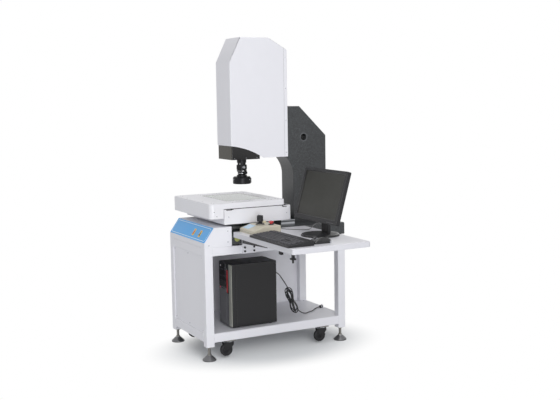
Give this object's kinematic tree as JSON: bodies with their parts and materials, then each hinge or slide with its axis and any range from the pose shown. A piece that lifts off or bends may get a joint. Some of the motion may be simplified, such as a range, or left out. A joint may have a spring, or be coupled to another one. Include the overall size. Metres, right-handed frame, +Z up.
{
  "type": "vision measuring machine",
  "caption": "Camera measuring machine: granite base and column, cross slide with glass stage, sheet-covered head, open stand with casters, side table with joystick, monitor and computer.",
  "frame": {"origin": "on the floor, under the middle of the overall box", "axes": "+Z up, -Y to the front where the operator stands, +X to the side table"},
  "size_m": [1.293, 0.9698, 1.868],
  "materials": {
    "white_coat": "satin powder coat",
    "white_casting": "satin white coat over machined aluminium",
    "granite": "fine ground black granite",
    "blue_panel": "satin blue film",
    "yellow_plate": "gloss",
    "olive_plastic": "matt",
    "red_plastic": "gloss",
    "black_gloss": "gloss",
    "bright_steel": "bright zinc plate",
    "ground_steel": "ground",
    "black_rubber": "matt",
    "dark_anodised": "satin black anodised",
    "dark_sheet": "gloss dark coat",
    "lamp_metal": "satin",
    "clear_glass": "polished",
    "table_board": "pale laminate",
    "beige_plastic": "fine texture",
    "cream_plastic": "satin",
    "black_plastic": "fine texture",
    "grey_plastic": "fine texture",
    "screen_glass": "matt dark screen",
    "black_sheet": "satin black",
    "grey_cord": "matt",
    "black_cord": "matt"
  },
  "bodies": {
    "machine": {"stand_legs": "white_coat", "stand_rails": "white_coat", "stand_panels": "white_coat", "foot_pads": "black_rubber", "stand_fittings": "bright_steel", "granite_base": "granite", "base_mounts": "black_rubber", "transport_plugs": "olive_plastic", "granite_column": "granite", "front_cover": "white_coat", "switch_panel": "blue_panel", "switch_bezels": "yellow_plate", "y_guideway": "ground_steel", "backlight": "lamp_metal", "z_guideway": "ground_steel", "head_cover": "white_coat", "side_table": "table_board", "table_arms": "white_coat", "joystick_box": "beige_plastic", "keyboard": "black_plastic", "monitor_stand": "black_plastic", "pc_case": "black_sheet", "pc_front": "grey_plastic", "cable_hank": "black_cord", "joystick_lead": "grey_cord", "computer_lead": "black_cord", "wall_lead": "black_cord"},
    "y_carriage": {"y_carriage": "white_casting", "x_guideway": "ground_steel"},
    "y_screw": {"y_screw": "ground_steel"},
    "stage": {"stage_plate": "white_casting", "stage_glass": "clear_glass"},
    "x_screw": {"x_screw": "ground_steel"},
    "measuring_head": {"z_carriage": "dark_anodised", "camera": "dark_anodised", "zoom_lens": "dark_anodised", "ring_light": "dark_anodised", "nose_cover": "dark_sheet"},
    "z_screw": {"z_screw": "ground_steel"},
    "zoom_ring": {"zoom_ring": "dark_anodised"},
    "power_rocker": {"power_rocker": "red_plastic"},
    "lamp_rocker": {"lamp_rocker": "black_gloss"},
    "joystick_gimbal": {"joystick_gimbal": "ground_steel"},
    "joystick_lever": {"joystick_lever": "black_plastic"},
    "stop_button": {"stop_button": "red_plastic"},
    "speed_dial": {"speed_dial": "cream_plastic"},
    "mouse": {"mouse_body": "black_plastic"},
    "mouse_button_left": {"mouse_button_left": "black_plastic"},
    "mouse_button_right": {"mouse_button_right": "black_plastic"},
    "monitor": {"monitor_housing": "black_plastic", "monitor_screen": "screen_glass"},
    "pc_power_button": {"pc_power_button": "black_gloss"},
    "caster_fork_front_left": {"caster_fork_front_left": "bright_steel"},
    "caster_wheel_front_left": {"caster_wheel_front_left": "black_rubber"},
    "caster_fork_rear_left": {"caster_fork_rear_left": "bright_steel"},
    "caster_wheel_rear_left": {"caster_wheel_rear_left": "black_rubber"},
    "caster_fork_front_right": {"caster_fork_front_right": "bright_steel"},
    "caster_wheel_front_right": {"caster_wheel_front_right": "black_rubber"},
    "caster_fork_rear_right": {"caster_fork_rear_right": "bright_steel"},
    "caster_wheel_rear_right": {"caster_wheel_rear_right": "black_rubber"}
  },
  "joints": [
    {"name": "stage_y", "type": "slide", "parent": "machine", "child": "y_carriage", "axis": [0, 1, 0], "range_m": [-0.1, 0.1]},
    {"name": "y_screw_turn", "type": "hinge", "parent": "machine", "child": "y_screw", "pos_m": [-0.4495, 0, 0.768], "axis": [0, 1, 0], "range_deg": [-3600.1, 3600.1]},
    {"name": "stage_x", "type": "slide", "parent": "y_carriage", "child": "stage", "axis": [1, 0, 0], "range_m": [-0.15, 0.15]},
    {"name": "x_screw_turn", "type": "hinge", "parent": "y_carriage", "child": "x_screw", "pos_m": [-0.3495, 0.022, 0.85], "axis": [1, 0, 0], "range_deg": [-5400.1, 5400.1]},
    {"name": "z_axis", "type": "slide", "parent": "machine", "child": "measuring_head", "axis": [0, 0, 1], "range_m": [-0.075, 0.125]},
    {"name": "z_screw_turn", "type": "hinge", "parent": "machine", "child": "z_screw", "pos_m": [-0.3495, 0.135, 1.4], "axis": [0, 0, 1], "range_deg": [-4500.1, 2700.1]},
    {"name": "zoom_turn", "type": "hinge", "parent": "measuring_head", "child": "zoom_ring", "pos_m": [-0.3495, -0.097, 1.093], "axis": [0, 0, 1], "range_deg": [0, 120]},
    {"name": "power_rock", "type": "hinge", "parent": "machine", "child": "power_rocker", "pos_m": [-0.2895, -0.44436, 0.73069], "axis": [1, 0, 0], "range_deg": [0, 18]},
    {"name": "lamp_rock", "type": "hinge", "parent": "machine", "child": "lamp_rocker", "pos_m": [-0.1995, -0.44436, 0.73069], "axis": [1, 0, 0], "range_deg": [0, 18]},
    {"name": "joystick_fore_aft", "type": "hinge", "parent": "machine", "child": "joystick_gimbal", "pos_m": [0.0225, -0.165, 0.784], "axis": [1, 0, 0], "range_deg": [-18, 18], "stiffness_Nm_per_rad": 0.4},
    {"name": "joystick_side", "type": "hinge", "parent": "joystick_gimbal", "child": "joystick_lever", "pos_m": [0.0225, -0.165, 0.784], "axis": [0, 1, 0], "range_deg": [-18, 18], "stiffness_Nm_per_rad": 0.4},
    {"name": "stop_press", "type": "slide", "parent": "machine", "child": "stop_button", "axis": [0, 0, -1], "range_m": [0, 0.004]},
    {"name": "speed_turn", "type": "hinge", "parent": "machine", "child": "speed_dial", "pos_m": [-0.0275, -0.112, 0.789], "axis": [0, 0, 1], "range_deg": [-135, 135]},
    {"name": "mouse_slide", "type": "slide", "parent": "machine", "child": "mouse", "axis": [0, 1, 0], "range_m": [-0.015, 0.06]},
    {"name": "mouse_left_click", "type": "hinge", "parent": "mouse", "child": "mouse_button_left", "pos_m": [0.5455, -0.0845, 0.77], "axis": [1, 0, 0], "range_deg": [0, 1], "stiffness_Nm_per_rad": 0.3, "springref_deg": -5.73},
    {"name": "mouse_right_click", "type": "hinge", "parent": "mouse", "child": "mouse_button_right", "pos_m": [0.5455, -0.0845, 0.77], "axis": [1, 0, 0], "range_deg": [0, 1], "stiffness_Nm_per_rad": 0.3, "springref_deg": -5.73},
    {"name": "monitor_tilt", "type": "hinge", "parent": "machine", "child": "monitor", "pos_m": [0.3145, 0.09999, 0.92876], "axis": [1, 0, 0], "range_deg": [-4, 15]},
    {"name": "pc_power_press", "type": "slide", "parent": "machine", "child": "pc_power_button", "axis": [0, 1, 0], "range_m": [0, 0.0015], "stiffness_N_per_m": 400, "springref_m": -0.002},
    {"name": "swivel_front_left", "type": "hinge", "parent": "machine", "child": "caster_fork_front_left", "pos_m": [-0.5945, -0.316, 0.097], "axis": [0, 0, 1], "continuous": true},
    {"name": "spin_front_left", "type": "hinge", "parent": "caster_fork_front_left", "child": "caster_wheel_front_left", "pos_m": [-0.5945, -0.337, 0.049], "axis": [1, 0, 0], "continuous": true},
    {"name": "swivel_rear_left", "type": "hinge", "parent": "machine", "child": "caster_fork_rear_left", "pos_m": [-0.5945, 0.316, 0.097], "axis": [0, 0, 1], "continuous": true},
    {"name": "spin_rear_left", "type": "hinge", "parent": "caster_fork_rear_left", "child": "caster_wheel_rear_left", "pos_m": [-0.5945, 0.295, 0.049], "axis": [1, 0, 0], "continuous": true},
    {"name": "swivel_front_right", "type": "hinge", "parent": "machine", "child": "caster_fork_front_right", "pos_m": [-0.1045, -0.316, 0.097], "axis": [0, 0, 1], "continuous": true},
    {"name": "spin_front_right", "type": "hinge", "parent": "caster_fork_front_right", "child": "caster_wheel_front_right", "pos_m": [-0.1045, -0.337, 0.049], "axis": [1, 0, 0], "continuous": true},
    {"name": "swivel_rear_right", "type": "hinge", "parent": "machine", "child": "caster_fork_rear_right", "pos_m": [-0.1045, 0.316, 0.097], "axis": [0, 0, 1], "continuous": true},
    {"name": "spin_rear_right", "type": "hinge", "parent": "caster_fork_rear_right", "child": "caster_wheel_rear_right", "pos_m": [-0.1045, 0.295, 0.049], "axis": [1, 0, 0], "continuous": true}
  ],
  "couplings": [
    {"joint": "y_screw_turn", "follows": "stage_y", "rad_per_m": -628.32},
    {"joint": "x_screw_turn", "follows": "stage_x", "rad_per_m": -628.32},
    {"joint": "z_screw_turn", "follows": "z_axis", "rad_per_m": -628.32}
  ]
}
